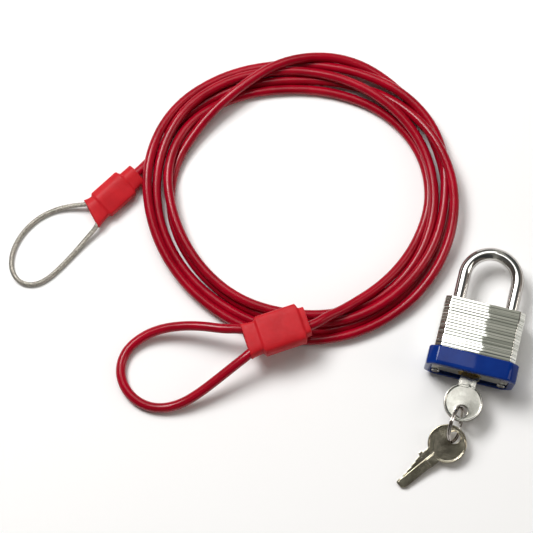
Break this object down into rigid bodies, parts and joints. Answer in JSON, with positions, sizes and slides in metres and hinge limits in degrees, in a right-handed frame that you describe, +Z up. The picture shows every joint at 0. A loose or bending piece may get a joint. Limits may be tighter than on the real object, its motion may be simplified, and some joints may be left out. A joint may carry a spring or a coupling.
{
  "type": "cable lock",
  "caption": "Coiled red coated security cable with an eye at each end, beside a laminated padlock with a blue bumper, a key in its cylinder and a spare key on a split ring.",
  "frame": {"origin": "centre of the bumper's back face, on the surface the set lies on", "axes": "+X across the padlock, +Y out of the body along the shackle, +Z up out of the padlock's front face"},
  "size_m": [0.2586, 0.2094, 0.024],
  "materials": {
    "zinc_plate": "zinc plated, punched edges",
    "rivet_steel": "zinc plated, peened",
    "blue_bumper": "glossy moulded vinyl",
    "chromed_bar": "polished chrome on hardened steel",
    "spring_steel": "drawn wire",
    "zinc_casting": "die casting, as cast",
    "brass_plug": "turned",
    "nickel_key": "nickel plated, fine scratches",
    "nickel_ring": "nickel plated",
    "red_jacket": "clear red vinyl over wire rope",
    "red_sleeve": "moulded, satin",
    "ferrule_aluminium": "pressed",
    "wire_rope": "galvanised strands"
  },
  "bodies": {
    "lock_body": {"body_plate_01": "zinc_plate", "body_plate_02": "zinc_plate", "body_plate_03": "zinc_plate", "body_plate_04": "zinc_plate", "body_plate_05": "zinc_plate", "body_plate_06": "zinc_plate", "body_plate_07": "zinc_plate", "body_plate_08": "zinc_plate", "body_plate_09": "zinc_plate", "body_plate_10": "zinc_plate", "body_plate_11": "zinc_plate", "body_plate_12": "zinc_plate", "body_plate_13": "zinc_plate", "body_plate_14": "zinc_plate", "body_plate_15": "zinc_plate", "body_plate_16": "zinc_plate", "body_plate_17": "zinc_plate", "body_plate_18": "zinc_plate", "body_plate_19": "zinc_plate", "body_plate_20": "zinc_plate", "body_plate_21": "zinc_plate", "body_plate_22": "zinc_plate", "body_plate_23": "zinc_plate", "rivets": "rivet_steel", "bumper": "blue_bumper", "cylinder_housing": "zinc_casting", "driver_pins": "brass_plug", "pin_springs": "spring_steel", "latch_wires": "spring_steel", "shackle_spring": "spring_steel"},
    "shackle": {"shackle": "chromed_bar"},
    "plug": {"cylinder_plug": "brass_plug", "key_pins": "brass_plug"},
    "key": {"key_in_lock": "nickel_key"},
    "ring": {"split_ring": "nickel_ring"},
    "spare": {"spare_key": "nickel_key"},
    "cable": {"cable_coil": "red_jacket", "large_sleeve": "red_sleeve", "large_ferrule": "ferrule_aluminium", "large_eye": "red_jacket", "large_lead": "red_jacket", "small_sleeve": "red_sleeve", "small_ferrule": "ferrule_aluminium", "small_eye": "wire_rope", "small_lead": "red_jacket"}
  },
  "joints": [
    {"name": "shackle_lift", "type": "slide", "parent": "lock_body", "child": "shackle", "axis": [0, 1, 0], "range_m": [0, 0.0135], "deforming": ["latch_wires", "shackle_spring"]},
    {"name": "plug_turn", "type": "hinge", "parent": "lock_body", "child": "plug", "pos_m": [0, 0, 0.012], "axis": [0, 1, 0], "range_deg": [0, 90]},
    {"name": "key_slide", "type": "slide", "parent": "plug", "child": "key", "axis": [0, -1, 0], "range_m": [0, 0.03]},
    {"name": "ring_swing", "type": "hinge", "parent": "key", "child": "ring", "pos_m": [0, -0.02275, 0.012], "axis": [0, 0, 1], "range_deg": [-20, 20]},
    {"name": "spare_swing", "type": "hinge", "parent": "ring", "child": "spare", "pos_m": [-0.00016, -0.03406, 0.00582], "axis": [-0.083, -0.106, 0.9909], "range_deg": [-20, 20]},
    {"name": "cable_lift", "type": "slide", "parent": "lock_body", "child": "cable", "axis": [0, 0, 1], "range_m": [0, 0.06]}
  ]
}
